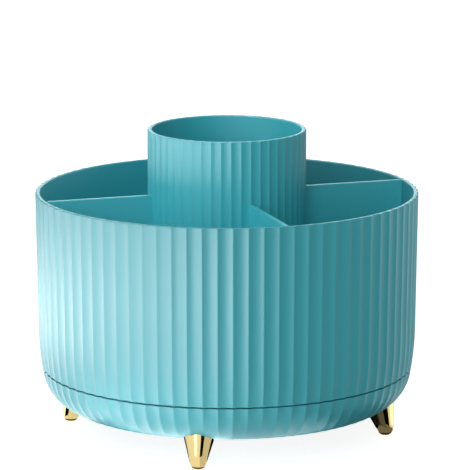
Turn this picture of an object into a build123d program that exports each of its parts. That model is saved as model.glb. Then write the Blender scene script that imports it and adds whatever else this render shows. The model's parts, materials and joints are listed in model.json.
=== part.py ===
"""Rotating desk caddy: a fluted tub with four dividers and a taller centre cup.

The tub turns on a ball race inside a fluted base dish that stands on four gold cone feet.
Millimetres. The turning axis is +Z, the ground is z = 0 and the front is -Y.
"""

import os
from math import cos, radians, sin, sqrt, tan

from build123d import *

# Outer form. Radii of fluted walls are taken at the ridges of the flutes.
rim_radius = 80.5
rim_height = 103.0
underside_height = 11.25
wall_draft = 0.83
belly_radius = 117.0
belly_angle = 10.4
corner_radius = 17.2

# Flutes of the tub and the base, which line up across the seam at rest
flute_count = 80
flute_depth = 0.6
flute_start = -92.7

# Seam between the turning tub and the base
seam_height = 27.87
seam_gap = 0.45

# Tub
tub_wall = 2.0
tub_floor = 2.2
tub_chamfer = 4.0
lip_depth = 4.0
lip_wall = 1.6
lip_clearance = 0.8
belly_sections = 1

# Centre cup and dividers
cup_radius = 33.3
cup_height = 129.4
cup_wall = 1.9
cup_floor = 2.0
cup_chamfer = 3.0
cup_flute_count = 50
cup_flute_depth = 0.4
cup_flute_start = -94.1
divider_count = 4
divider_wall = 2.0
divider_start = -72.0
divider_clearance = 0.2
insert_screw_circle = 20.0
insert_screw_count = 2
key_rib_height = 2.0
key_rib_wall = 1.2
key_rib_length = 14.0
key_rib_centre = 56.0

# Base dish
base_wall = 2.6
corner_sections = 3
shortest_section = 3.0
seat_height = 1.8
seat_rib_wall = 2.0
rib_count = 6
rib_wall = 1.5

# Ball race, as wide as the foot pads in the base leave room for
race_clearance = 1.87
raceway_width = 8.0
race_height = 3.4
race_gap = 3.6
flange_width = 8.0
flange_height = 1.6
ball_radius = 3.0
ball_count = 6
ball_clearance = 0.06
cage_width = 9.6
cage_height = 1.8
pocket_clearance = 0.15

# Pivot
collar_radius = 8.0
collar_height = 4.2
spigot_radius = 4.0
bush_wall = 2.0
hub_wall = 3.0
hub_depth = 6.0
bore_clearance = 0.06
fit_clearance = 0.05
end_play = 0.3
spigot_drop = 0.2
washer_radius = 9.0
washer_height = 1.0
pivot_screw_radius = 2.0
pivot_screw_length = 12.5
pivot_head_radius = 4.0
pivot_head_height = 2.6
head_room = 0.8

# Small self-tapping screws of the races, the insert and the feet
screw_radius = 1.3
screw_length = 5.0
screw_head_radius = 2.4
screw_head_height = 1.7
screw_hole_clearance = 0.2
slot_width = 1.1
slot_depth = 0.9
race_screw_count = 3
tub_screw_start = -27.0
base_screw_start = 0.0
screw_boss_radius = 3.4

# Feet: cones with a ball tip, leaning outwards
foot_count = 4
foot_start = -100.0
foot_inset = 12.6
foot_lean = 14.5
foot_taper = 15.6
foot_tip_radius = 3.5
foot_sole_depth = 0.3
foot_sink = 4.05
foot_pad_wall = 1.4
foot_pad_height = 2.6
foot_screw_radius = 1.5
foot_screw_length = 9.0
foot_socket_clearance = 0.1

# How far a cut reaches past the face that it opens, and a boss into the wall that carries it
overreach = 1.0

# Heights that follow from the sizes above
belly_drop = belly_radius * (sin(radians(belly_angle)) - sin(radians(wall_draft)))
corner_drop = corner_radius * (1 - sin(radians(belly_angle)))
belly_height = underside_height + corner_drop + belly_drop
tub_underside = seam_height + seam_gap
tub_floor_top = tub_underside + tub_floor
base_floor_top = underside_height + base_wall
lower_race_bottom = base_floor_top + seat_height
lower_race_top = lower_race_bottom + race_height
ball_height = lower_race_top + race_gap / 2
upper_race_bottom = lower_race_top + race_gap
upper_race_top = upper_race_bottom + race_height
collar_top = base_floor_top + collar_height
bush_top = tub_floor_top + end_play
spigot_top = bush_top - spigot_drop
washer_top = bush_top + washer_height
cup_floor_underside = washer_top + pivot_head_height + head_room
cup_floor_top = cup_floor_underside + cup_floor

# Feet: along their own axis, and across the base
foot_ball_height = foot_tip_radius - foot_sole_depth
foot_seat = (underside_height + foot_sink - foot_ball_height) / cos(radians(foot_lean))
foot_pad_top = foot_seat + foot_pad_height
foot_seat_radius = (foot_tip_radius + foot_seat * sin(radians(foot_taper))) / cos(radians(foot_taper))
foot_pad_radius = foot_seat_radius + foot_pad_wall
foot_circle = rim_radius - foot_inset
foot_pad_reach = foot_pad_top * sin(radians(foot_lean)) + foot_pad_radius * cos(radians(foot_lean))

# Radii that follow
raceway_outer = foot_circle - foot_pad_reach - race_clearance - flange_width
race_radius = raceway_outer - raceway_width / 2
raceway_inner = race_radius - raceway_width / 2
lower_screw_circle = raceway_outer + flange_width / 2
upper_screw_circle = raceway_inner - flange_width / 2
bush_radius = spigot_radius + fit_clearance + bush_wall
cup_bore = cup_radius - cup_wall
screw_hole_radius = screw_radius + screw_hole_clearance
screw_pilot_radius = screw_radius + fit_clearance


def polar(radius, angle, height=0.0):
    """Point at a radius and an angle in degrees about the turning axis."""
    return Vector(radius * cos(radians(angle)), radius * sin(radians(angle)), height)


def outline_arcs(inset=0.0):
    """Centres and radii of the two arcs of the outer profile, moved inwards by an inset."""
    belly_top = rim_radius - (rim_height - belly_height) * tan(radians(wall_draft))
    belly_x = belly_top - belly_radius * cos(radians(wall_draft))
    belly_z = belly_height + belly_radius * sin(radians(wall_draft))
    corner_shift = belly_radius - corner_radius
    corner_x = belly_x + corner_shift * cos(radians(belly_angle))
    corner_z = belly_z - corner_shift * sin(radians(belly_angle))
    return (belly_x, belly_z, belly_radius - inset), (corner_x, corner_z, corner_radius - inset)


def ridge_radius(height, inset=0.0):
    """Radius of the outer profile, moved inwards by an inset, at a height."""
    (belly_x, belly_z, belly_r), (corner_x, corner_z, corner_r) = outline_arcs(inset)
    if height >= belly_z - belly_r * sin(radians(wall_draft)):
        slope = tan(radians(wall_draft))
        return rim_radius - inset / cos(radians(wall_draft)) - (rim_height - height) * slope
    if height >= belly_z - belly_r * sin(radians(belly_angle)):
        return belly_x + sqrt(belly_r**2 - (belly_z - height) ** 2)
    return corner_x + sqrt(max(corner_r**2 - (corner_z - height) ** 2, 0.0))


def scalloped_ring(radius, height, count, depth, start):
    """Closed outline of hollow flutes that meet in sharp ridges."""
    step = 360.0 / count
    arcs = []
    for index in range(count):
        angle = start + index * step
        first = polar(radius, angle, height)
        middle = polar(radius - depth, angle + step / 2, height)
        last = polar(radius, angle + step, height)
        arcs.append(Edge.make_three_point_arc(first, middle, last))
    return Wire(arcs)


def body_ring(height):
    """Fluted outline of the tub and the base at a height."""
    radius = ridge_radius(height)
    return scalloped_ring(radius, height, flute_count, flute_depth * radius / rim_radius, flute_start)


def cup_ring(height):
    """Fluted outline of the centre cup at a height."""
    return scalloped_ring(cup_radius, height, cup_flute_count, cup_flute_depth, cup_flute_start)


def cylinder(radius, bottom, top, x=0.0, y=0.0):
    """Upright cylinder between two heights."""
    return Pos(x, y, bottom) * Cylinder(radius, top - bottom, align=(Align.CENTER, Align.CENTER, Align.MIN))


def drill(radius, bottom, top, x=0.0):
    """Cylinder that cuts a hole right through between two heights."""
    return cylinder(radius, bottom - overreach, top + overreach, x)


def ring(inner, outer, bottom, top):
    """Upright ring between two radii and two heights."""
    return cylinder(outer, bottom, top) - drill(inner, bottom, top)


def block(inner, outer, wall, bottom, top):
    """Radial plate along +X that stands between two radii."""
    plate = Box(outer - inner, wall, top - bottom, align=(Align.MIN, Align.CENTER, Align.MIN))
    return Pos(inner, 0, bottom) * plate


def around(shape, count, start=0.0):
    """Copies of a shape turned evenly about the axis."""
    return [Rot(0, 0, start + index * 360.0 / count) * shape for index in range(count)]


def profile_heights(inset=0.0):
    """Heights at which the outer profile is drawn, from the underside to the top of the belly."""
    (belly_x, belly_z, belly_r), (corner_x, corner_z, corner_r) = outline_arcs(inset)
    corner_step = (90 - belly_angle) / corner_sections
    corner_angles = [90 - step * corner_step for step in range(corner_sections)]
    belly_step = (belly_angle - wall_draft) / belly_sections
    belly_angles = [belly_angle - step * belly_step for step in range(belly_sections + 1)]
    corner = [corner_z - corner_r * sin(radians(angle)) for angle in corner_angles]
    return corner + [belly_z - belly_r * sin(radians(angle)) for angle in belly_angles]


def levels(bottom, top, inset=0.0):
    """Heights of the profile between two heights, with both ends and no short last step."""
    low = bottom + overreach
    high = top - shortest_section
    return [bottom] + [height for height in profile_heights(inset) if low < height < high] + [top]


def inside_space(inset, floor, top, chamfer=0.0):
    """Solid of the space inside the outer form, with its floor corner cut off at 45 degrees."""
    walls = [(ridge_radius(height, inset), height) for height in levels(floor + chamfer, top, inset)]
    corner = [(ridge_radius(floor, inset) - chamfer, floor)] if chamfer else []
    section = Polyline((0, floor), *corner, *walls, (0, top), (0, floor))
    return revolve(Plane.XZ * make_face(section), Axis.Z)


def screw(radius, length, head_radius, head_height):
    """Cheese head screw with a slot, head up, the seat of its head at the origin."""
    body = cylinder(head_radius, 0, head_height) + cylinder(radius, -length, 0)
    slot = Box(2 * head_radius + overreach, slot_width, 2 * slot_depth)
    return body - Pos(0, 0, head_height) * slot


def small_screw():
    """Self-tapping screw of the races and the insert."""
    return screw(screw_radius, screw_length, screw_head_radius, screw_head_height)


def race_ring(bottom, flange_bottom, flange_end):
    """Race ring: a rail with a groove for the balls and a thinner flange beside it."""
    rail = Pos(race_radius, bottom + race_height / 2) * Rectangle(raceway_width, race_height)
    low, high = sorted((flange_end, race_radius))
    middle = flange_bottom + flange_height / 2
    flange = Pos((low + high) / 2, middle) * Rectangle(high - low, flange_height)
    side = (ball_radius + ball_clearance) * sqrt(2)
    groove = Pos(race_radius, ball_height) * Rot(0, 0, 45) * Rectangle(side * sqrt(2), side * sqrt(2))
    return revolve(Plane.XZ * (rail + flange - groove), Axis.Z)


def tub_cavity(inset=0.0):
    """Space inside the tub, moved inwards by an inset."""
    return inside_space(tub_wall + inset, tub_floor_top + inset, cup_height, tub_chamfer)


def outer_tub():
    """Fluted wall and floor, with the hub, the lip, the seats and the screw bosses underneath."""
    tub = Solid.make_loft([body_ring(height) for height in levels(tub_underside, rim_height)], ruled=True)

    lip_bottom = tub_underside - lip_depth
    lip_outer = ridge_radius(lip_bottom, base_wall) - lip_clearance
    hub_radius = bush_radius + bore_clearance + hub_wall
    under = [
        ring(lip_outer - lip_wall, lip_outer, lip_bottom, tub_underside),
        cylinder(hub_radius, tub_underside - hub_depth, tub_underside),
        ring(race_radius - seat_rib_wall / 2, race_radius + seat_rib_wall / 2, upper_race_top, tub_underside),
    ]
    rib = block(hub_radius - overreach, race_radius, rib_wall, upper_race_top, tub_underside)
    under += around(rib, rib_count, tub_screw_start + 180.0 / rib_count)
    boss = cylinder(screw_boss_radius, upper_race_top, tub_underside, upper_screw_circle)
    under += around(boss, race_screw_count, tub_screw_start)

    side = divider_wall / 2 + divider_clearance + key_rib_wall / 2
    start = key_rib_centre - key_rib_length / 2
    key_top = tub_floor_top + key_rib_height
    key = block(start, start + key_rib_length, key_rib_wall, tub_floor_top - overreach, key_top)
    keys = around(Pos(0, side, 0) * key, divider_count, divider_start)
    keys += around(Pos(0, -side, 0) * key, divider_count, divider_start)

    pilot_top = upper_race_top - flange_height + screw_length + fit_clearance
    pilot = cylinder(screw_pilot_radius, upper_race_top - overreach, pilot_top, upper_screw_circle)
    through = drill(screw_hole_radius, tub_underside, tub_floor_top, insert_screw_circle)
    holes = [drill(bush_radius + bore_clearance, tub_underside - hub_depth, tub_floor_top)]
    holes += around(pilot, race_screw_count, tub_screw_start)
    holes += around(through, insert_screw_count, tub_screw_start)
    tub = tub - tub_cavity()
    return tub + under + keys - holes


def divider_insert():
    """Fluted centre cup on a hollow foot, with its dividers."""
    cup = Solid.make_loft([cup_ring(cup_height), cup_ring(tub_floor_top)], ruled=True)
    plate = block(cup_bore, rim_radius, divider_wall, tub_floor_top + divider_clearance, rim_height)
    space = tub_cavity(divider_clearance)
    plates = [turned & space for turned in around(plate, divider_count, divider_start)]
    bore = cylinder(cup_bore, cup_floor_top, cup_height + overreach)
    bore_floor = bore.edges().filter_by(GeomType.CIRCLE).sort_by(Axis.Z)[0]
    bore = chamfer(bore_floor, cup_chamfer)
    foot = cylinder(cup_bore, tub_floor_top - overreach, cup_floor_underside)
    boss = cylinder(screw_boss_radius, tub_floor_top, cup_floor_underside, insert_screw_circle)
    pilot_top = tub_underside + screw_length + fit_clearance
    pilot = cylinder(screw_pilot_radius, tub_floor_top - overreach, pilot_top, insert_screw_circle)
    insert = cup + plates - [bore, foot]
    insert += around(boss, insert_screw_count, tub_screw_start)
    return insert - around(pilot, insert_screw_count, tub_screw_start)


def insert_screws():
    """Screws driven up through the tub floor into the foot of the cup."""
    place = Pos(insert_screw_circle, 0, tub_underside) * Rot(180, 0, 0)
    return Compound(around(place * small_screw(), insert_screw_count, tub_screw_start))


def upper_race():
    """Race ring under the tub, with its screw flange towards the axis."""
    flange_bottom = upper_race_top - flange_height
    body = race_ring(upper_race_bottom, flange_bottom, raceway_inner - flange_width)
    hole = drill(screw_hole_radius, flange_bottom, upper_race_top, upper_screw_circle)
    return body - around(hole, race_screw_count, tub_screw_start)


def upper_race_screws():
    """Screws driven up through the flange of the upper race into the tub."""
    place = Pos(upper_screw_circle, 0, upper_race_top - flange_height) * Rot(180, 0, 0)
    return Compound(around(place * small_screw(), race_screw_count, tub_screw_start))


def lower_race():
    """Race ring in the base, with its screw flange away from the axis."""
    body = race_ring(lower_race_bottom, lower_race_bottom, raceway_outer + flange_width)
    hole = drill(screw_hole_radius, lower_race_bottom, lower_race_bottom + flange_height, lower_screw_circle)
    return body - around(hole, race_screw_count, base_screw_start)


def lower_race_screws():
    """Screws driven down through the flange of the lower race into the base."""
    place = Pos(lower_screw_circle, 0, lower_race_bottom + flange_height)
    return Compound(around(place * small_screw(), race_screw_count, base_screw_start))


def ball_cage():
    """Flat ring with a round pocket for each ball."""
    bottom = ball_height - cage_height / 2
    body = ring(race_radius - cage_width / 2, race_radius + cage_width / 2, bottom, bottom + cage_height)
    pocket = drill(ball_radius + pocket_clearance, bottom, bottom + cage_height, race_radius)
    return body - around(pocket, ball_count)


def bearing_balls():
    """Steel balls that roll between the two races."""
    ball = Pos(race_radius, 0, ball_height) * Sphere(ball_radius)
    return Compound(around(ball, ball_count))


def foot_section(growth=0.0):
    """Half section of a foot about its own axis, grown by a clearance, ball centre at the origin."""
    radius = foot_tip_radius + growth
    taper = radians(foot_taper)
    seat_radius = (radius + foot_seat * sin(taper)) / cos(taper)
    tangent = (radius * cos(taper), -radius * sin(taper))
    halfway = (90 + foot_taper) / 2
    middle = (radius * sin(radians(halfway - foot_taper)), -radius * cos(radians(halfway - foot_taper)))
    tip = ThreePointArc((0, -radius), middle, tangent)
    side = Polyline(tangent, (seat_radius, foot_seat), (0, foot_seat), (0, -radius))
    return Plane.XZ * make_face(tip + side)


def foot_place(angle):
    """Where the ball centre of a foot lies, with the foot's axis leaning outwards."""
    return Rot(0, 0, angle) * Pos(foot_circle, 0, foot_ball_height) * Rot(0, -foot_lean, 0)


def foot(index):
    """Gold cone foot with a small flat sole and a pilot hole for its screw."""
    body = revolve(foot_section(), Axis.Z)
    pilot_bottom = foot_pad_top - foot_screw_length - fit_clearance
    body -= cylinder(foot_screw_radius + fit_clearance, pilot_bottom, foot_seat + overreach)
    placed = foot_place(foot_start + index * 360.0 / foot_count) * body
    ground = Pos(0, 0, -foot_tip_radius) * Box(
        4 * rim_radius, 4 * rim_radius, foot_tip_radius, align=(Align.CENTER, Align.CENTER, Align.MIN)
    )
    return placed - ground


def foot_screws():
    """Screws driven from inside the base down into the feet."""
    fastener = screw(foot_screw_radius, foot_screw_length, screw_head_radius, screw_head_height)
    seated = Pos(0, 0, foot_pad_top) * fastener
    turns = [foot_start + index * 360.0 / foot_count for index in range(foot_count)]
    return Compound([foot_place(turn) * seated for turn in turns])


def base_dish():
    """Fluted bowl with its curved underside, foot sockets, race seat and pivot boss."""
    heights = levels(underside_height, seam_height)
    dish = Solid.make_loft([body_ring(height) for height in heights], ruled=True)
    dish -= inside_space(base_wall, base_floor_top, seam_height + overreach)

    root = base_floor_top - overreach
    inside = [
        ring(race_radius - seat_rib_wall / 2, race_radius + seat_rib_wall / 2, root, lower_race_bottom),
        cylinder(collar_radius, root, collar_top),
        cylinder(spigot_radius, collar_top - overreach, spigot_top),
    ]
    rib = block(collar_radius - overreach, race_radius, rib_wall, root, lower_race_bottom)
    inside += around(rib, rib_count, base_screw_start)
    boss = cylinder(screw_boss_radius, root, lower_race_bottom, lower_screw_circle)
    inside += around(boss, race_screw_count, base_screw_start)

    pad = cylinder(foot_pad_radius, foot_seat - foot_pad_radius, foot_pad_top)
    room = inside_space(base_wall / 2, underside_height + base_wall / 2, seam_height)
    taper_room = Pos(0, 0, foot_seat / 2) * Box(4 * foot_pad_radius, 4 * foot_pad_radius, foot_seat)
    socket = revolve(foot_section(foot_socket_clearance), Axis.Z) & taper_room
    through = drill(foot_screw_radius + screw_hole_clearance, foot_seat, foot_pad_top)
    turns = [foot_start + index * 360.0 / foot_count for index in range(foot_count)]
    inside += [(foot_place(turn) * pad) & room for turn in turns]

    pilot_bottom = lower_race_bottom + flange_height - screw_length - fit_clearance
    pilot = cylinder(screw_pilot_radius, pilot_bottom, lower_race_bottom + overreach, lower_screw_circle)
    bore_bottom = washer_top - pivot_screw_length - fit_clearance
    holes = [cylinder(pivot_screw_radius + fit_clearance, bore_bottom, bush_top + overreach)]
    holes += around(pilot, race_screw_count, base_screw_start)
    holes += [foot_place(turn) * socket for turn in turns]
    holes += [foot_place(turn) * through for turn in turns]
    return dish + inside - holes


def pivot_bush():
    """Sleeve on the boss of the base, on which the hub of the tub turns."""
    return ring(spigot_radius + fit_clearance, bush_radius, collar_top, bush_top)


def pivot_washer():
    """Washer on the bush that keeps the tub from lifting off."""
    return ring(pivot_screw_radius + screw_hole_clearance, washer_radius, bush_top, washer_top)


def pivot_screw():
    """Screw that clamps the washer and the bush to the base."""
    fastener = screw(pivot_screw_radius, pivot_screw_length, pivot_head_radius, pivot_head_height)
    return Pos(0, 0, washer_top) * fastener


pieces = {
    "outer_tub": outer_tub,
    "divider_insert": divider_insert,
    "insert_screws": insert_screws,
    "upper_race": upper_race,
    "upper_race_screws": upper_race_screws,
    "ball_cage": ball_cage,
    "bearing_balls": bearing_balls,
    "lower_race": lower_race,
    "lower_race_screws": lower_race_screws,
    "base_dish": base_dish,
    "pivot_bush": pivot_bush,
    "pivot_washer": pivot_washer,
    "pivot_screw": pivot_screw,
    "foot_front": lambda: foot(0),
    "foot_right": lambda: foot(1),
    "foot_rear": lambda: foot(2),
    "foot_left": lambda: foot(3),
    "foot_screws": foot_screws,
}

os.makedirs("parts", exist_ok=True)
for name, make in pieces.items():
    export_step(make(), f"parts/{name}.step")
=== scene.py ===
"""Fluted rotating caddy on four gold feet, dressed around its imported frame.

The file is laid out as an add-on and run as a script. Lengths are in metres, +Z is up, the turning
axis stands on the origin and the front of the caddy faces -Y.
"""

import json
import math

import bmesh
import bpy
from bpy.props import FloatProperty, FloatVectorProperty, IntProperty, PointerProperty
from mathutils import Matrix, Vector


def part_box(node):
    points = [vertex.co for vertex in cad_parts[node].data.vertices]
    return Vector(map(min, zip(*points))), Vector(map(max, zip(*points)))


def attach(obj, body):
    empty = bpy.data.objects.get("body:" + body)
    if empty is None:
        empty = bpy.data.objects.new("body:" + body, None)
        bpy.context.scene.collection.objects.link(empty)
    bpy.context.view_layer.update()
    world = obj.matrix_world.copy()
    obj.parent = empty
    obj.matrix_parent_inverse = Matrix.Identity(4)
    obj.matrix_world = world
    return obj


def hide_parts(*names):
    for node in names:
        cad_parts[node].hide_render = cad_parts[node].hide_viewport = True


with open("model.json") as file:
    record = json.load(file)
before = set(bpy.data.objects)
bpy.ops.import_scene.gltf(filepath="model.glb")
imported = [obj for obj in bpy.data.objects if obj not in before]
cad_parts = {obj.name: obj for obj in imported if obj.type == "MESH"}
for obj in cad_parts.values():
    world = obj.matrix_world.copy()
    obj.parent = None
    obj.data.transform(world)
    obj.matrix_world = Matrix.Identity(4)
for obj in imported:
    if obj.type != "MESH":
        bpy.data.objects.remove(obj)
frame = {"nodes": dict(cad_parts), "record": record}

bl_info = {
    "name": "Fluted rotating caddy",
    "version": (1, 0, 0),
    "blender": (4, 5, 0),
    "location": "View3D > Sidebar > Caddy",
    "description": "Builds a fluted rotating caddy with its cup, dividers, base and gold feet",
    "category": "Object",
}

MM = 0.001
# Points closer than this are one point
MERGE_DISTANCE = 0.0005 * MM
# Edges that turn by more than this stay sharp in the shading
SHARP_ANGLE = math.radians(35.0)
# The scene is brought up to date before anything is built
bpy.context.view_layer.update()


def linear(hex_colour):
    """Linear RGB of an sRGB hex colour, by the formula of that standard."""
    channels = [int(hex_colour[place:place + 2], 16) / 255 for place in (1, 3, 5)]
    return [c / 12.92 if c <= 0.04045 else ((c + 0.055) / 1.055) ** 2.4 for c in channels]


def rgba(colour):
    """Colour with full alpha, as the shader sockets take it."""
    return (*colour, 1.0)


def add_node(tree, kind, inputs=None, **settings):
    """Adds a node with its settings. A socket or node given as an input is linked, any other is set."""
    node = tree.nodes.new(kind)
    for name, value in settings.items():
        setattr(node, name, value)
    for key, value in (inputs or {}).items():
        if isinstance(value, bpy.types.Node):
            value = value.outputs[0]
        if isinstance(value, bpy.types.NodeSocket):
            tree.links.new(value, node.inputs[key])
        else:
            node.inputs[key].default_value = value
    return node


def linked_object(name, data):
    """New object made of some data and linked into the scene."""
    thing = bpy.data.objects.new(name, data)
    bpy.context.scene.collection.objects.link(thing)
    return thing


def group(name):
    """Collection that says which pieces a linked light reaches."""
    return bpy.data.collections.get(name) or bpy.data.collections.new(name)


# Settings


class CADDY_PG_form(bpy.types.PropertyGroup):
    """Outer form of the tub and the base, with their flutes."""

    rim_radius: FloatProperty(
        name="Rim radius", description="Radius of the rim at the ridges of its flutes",
        default=80.5 * MM, unit="LENGTH", precision=5)
    rim_height: FloatProperty(
        name="Rim height", description="Height of the rim over the ground",
        default=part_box("outer_tub")[1].z, unit="LENGTH")
    draft: FloatProperty(
        name="Wall draft", description="Angle at which the upper wall narrows downwards",
        default=math.radians(0.83), subtype="ANGLE")
    belly_radius: FloatProperty(
        name="Belly radius", description="Radius of the gentle curve of the lower wall",
        default=117.0 * MM, unit="LENGTH")
    belly_angle: FloatProperty(
        name="Belly angle", description="Slope at which the belly runs into the corner",
        default=math.radians(10.4), subtype="ANGLE")
    corner_radius: FloatProperty(
        name="Corner radius", description="Radius of the curve into the underside",
        default=17.2 * MM, unit="LENGTH")
    underside: FloatProperty(
        name="Underside height", description="Height of the flat underside over the ground",
        default=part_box("base_dish")[0].z, unit="LENGTH")
    seam: FloatProperty(
        name="Seam height", description="Top edge of the base",
        default=27.87 * MM, unit="LENGTH")
    seam_gap: FloatProperty(
        name="Seam gap", description="Running gap between the base and the tub",
        default=0.45 * MM, unit="LENGTH")
    flutes: IntProperty(
        name="Flutes", description="Number of hollow flutes round the wall", default=80, min=8)
    flute_depth: FloatProperty(
        name="Flute depth", description="Depth of a flute at the rim",
        default=0.6 * MM, unit="LENGTH")
    flute_start: FloatProperty(
        name="Flute start", description="Angle of the first ridge",
        default=math.radians(-92.7), subtype="ANGLE")
    ridge_softness: FloatProperty(
        name="Ridge softness", description="Rounding of a ridge, as a share of half a flute",
        default=0.05, min=0.001)
    flute_steps: IntProperty(
        name="Steps per flute", description="Facets across one flute", default=12, min=4)
    wall: FloatProperty(
        name="Wall", description="Thickness of the tub wall", default=2.0 * MM, unit="LENGTH")
    floor_wall: FloatProperty(
        name="Floor", description="Thickness of the tub floor", default=2.2 * MM, unit="LENGTH")
    base_wall: FloatProperty(
        name="Base wall", description="Thickness of the base dish", default=2.6 * MM, unit="LENGTH")
    edge_radius: FloatProperty(
        name="Edge radius", description="Rounding of the rim and of the edges at the seam",
        default=0.4 * MM, unit="LENGTH")


class CADDY_PG_cup(bpy.types.PropertyGroup):
    """Centre cup and its dividers."""

    radius: FloatProperty(
        name="Cup radius", description="Radius of the cup at the ridges of its flutes",
        default=33.3 * MM, unit="LENGTH")
    wall: FloatProperty(
        name="Cup wall", description="Thickness of the cup wall", default=1.9 * MM, unit="LENGTH")
    floor_wall: FloatProperty(
        name="Cup floor", description="Thickness of the cup floor", default=2.0 * MM, unit="LENGTH")
    floor_height: FloatProperty(
        name="Cup floor height", description="Top of the cup floor over the ground",
        default=37.22 * MM, unit="LENGTH")
    flutes: IntProperty(
        name="Cup flutes", description="Number of hollow flutes round the cup", default=50, min=8)
    flute_depth: FloatProperty(
        name="Cup flute depth", description="Depth of a flute of the cup",
        default=0.4 * MM, unit="LENGTH")
    flute_start: FloatProperty(
        name="Cup flute start", description="Angle of the first ridge of the cup",
        default=math.radians(-94.1), subtype="ANGLE")
    dividers: IntProperty(name="Dividers", description="Number of upright dividers", default=4)
    divider_wall: FloatProperty(
        name="Divider wall", description="Thickness of a divider", default=2.0 * MM, unit="LENGTH")
    divider_start: FloatProperty(
        name="Divider start", description="Angle of the first divider",
        default=math.radians(-72.0), subtype="ANGLE")
    divider_gap: FloatProperty(
        name="Divider gap", description="Gap between a divider and the tub",
        default=0.2 * MM, unit="LENGTH")
    floor_corner: FloatProperty(
        name="Floor corner", description="Corner that a divider leaves free for the tub's fillet",
        default=4.0 * MM, unit="LENGTH")
    key_centre: FloatProperty(
        name="Key ribs", description="Distance of the ribs that hold a divider from the axis",
        default=56.0 * MM, unit="LENGTH")
    key_length: FloatProperty(
        name="Key rib length", description="Length of a rib that holds a divider",
        default=14.0 * MM, unit="LENGTH")
    key_wall: FloatProperty(
        name="Key rib wall", description="Thickness of a rib that holds a divider",
        default=1.2 * MM, unit="LENGTH")
    key_height: FloatProperty(
        name="Key rib height", description="Height of a rib that holds a divider",
        default=2.0 * MM, unit="LENGTH")


class CADDY_PG_turntable(bpy.types.PropertyGroup):
    """Seats, ribs and bosses that carry the ball race and its screws."""

    race_radius: FloatProperty(
        name="Race radius", description="Radius of the circle on which the balls roll",
        default=42.0 * MM, unit="LENGTH")
    seat_wall: FloatProperty(
        name="Seat wall", description="Thickness of the seat rings under the races",
        default=2.0 * MM, unit="LENGTH")
    rib_wall: FloatProperty(
        name="Rib wall", description="Thickness of a stiffening rib", default=1.5 * MM, unit="LENGTH")
    ribs: IntProperty(name="Ribs", description="Stiffening ribs under each seat", default=6)
    screws: IntProperty(name="Race screws", description="Screws in each race", default=3)
    screw_offset: FloatProperty(
        name="Screw offset", description="Distance of the race screws from the race radius",
        default=8.0 * MM, unit="LENGTH")
    boss_radius: FloatProperty(
        name="Boss radius", description="Radius of a screw boss", default=3.4 * MM, unit="LENGTH")
    pilot_radius: FloatProperty(
        name="Pilot radius", description="Radius of the hole in a screw boss",
        default=1.35 * MM, unit="LENGTH")
    tub_start: FloatProperty(
        name="First tub screw", description="Angle of the first screw in the tub",
        default=math.radians(-27.0), subtype="ANGLE")
    insert_circle: FloatProperty(
        name="Insert screws", description="Distance of the insert's screws from the axis",
        default=20.0 * MM, unit="LENGTH")
    insert_screws: IntProperty(
        name="Insert screw count", description="Screws that hold the insert", default=2)
    hub_wall: FloatProperty(
        name="Hub wall", description="Thickness of the hub round the bush", default=3.0 * MM, unit="LENGTH")
    hub_depth: FloatProperty(
        name="Hub depth", description="How far the hub reaches below the tub",
        default=6.0 * MM, unit="LENGTH")
    lip_wall: FloatProperty(
        name="Lip wall", description="Thickness of the lip that dips into the base",
        default=1.6 * MM, unit="LENGTH")
    lip_depth: FloatProperty(
        name="Lip depth", description="How far the lip reaches below the tub",
        default=4.0 * MM, unit="LENGTH")
    lip_gap: FloatProperty(
        name="Lip gap", description="Gap between the lip and the base wall",
        default=0.8 * MM, unit="LENGTH")
    collar_radius: FloatProperty(
        name="Collar radius", description="Radius of the collar under the bush",
        default=8.0 * MM, unit="LENGTH")
    spigot_radius: FloatProperty(
        name="Spigot radius", description="Radius of the spigot inside the bush",
        default=4.0 * MM, unit="LENGTH")


class CADDY_PG_foot(bpy.types.PropertyGroup):
    """Gold cone feet."""

    feet: IntProperty(name="Feet", description="Number of feet", default=4)
    start: FloatProperty(
        name="First foot", description="Angle of the front foot",
        default=math.radians(-100.0), subtype="ANGLE")
    circle: FloatProperty(
        name="Foot circle", description="Radius on which the balls of the feet stand",
        default=67.9 * MM, unit="LENGTH")
    lean: FloatProperty(
        name="Lean", description="Angle by which a foot spreads outwards",
        default=math.radians(14.5), subtype="ANGLE")
    taper: FloatProperty(
        name="Taper", description="Angle of the cone's side to its axis",
        default=math.radians(15.6), subtype="ANGLE")
    tip_radius: FloatProperty(
        name="Tip radius", description="Radius of the ball at the tip",
        default=3.5 * MM, unit="LENGTH")
    sole_depth: FloatProperty(
        name="Sole depth", description="Height that is cut off the ball for the flat sole",
        default=0.3 * MM, unit="LENGTH")
    length: FloatProperty(
        name="Length", description="Length of the cone above the centre of the ball",
        default=12.498 * MM, unit="LENGTH")
    pad_height: FloatProperty(
        name="Pad height", description="Thickness of the pad over a foot, inside the base",
        default=2.6 * MM, unit="LENGTH")
    pad_wall: FloatProperty(
        name="Pad wall", description="Thickness of the pad round the top of a foot",
        default=1.4 * MM, unit="LENGTH")
    screw_radius: FloatProperty(
        name="Foot screw", description="Radius of the screw in a foot", default=1.5 * MM, unit="LENGTH")
    screw_depth: FloatProperty(
        name="Screw depth", description="Depth of the screw's hole below the top of the foot",
        default=6.45 * MM, unit="LENGTH")


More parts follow.
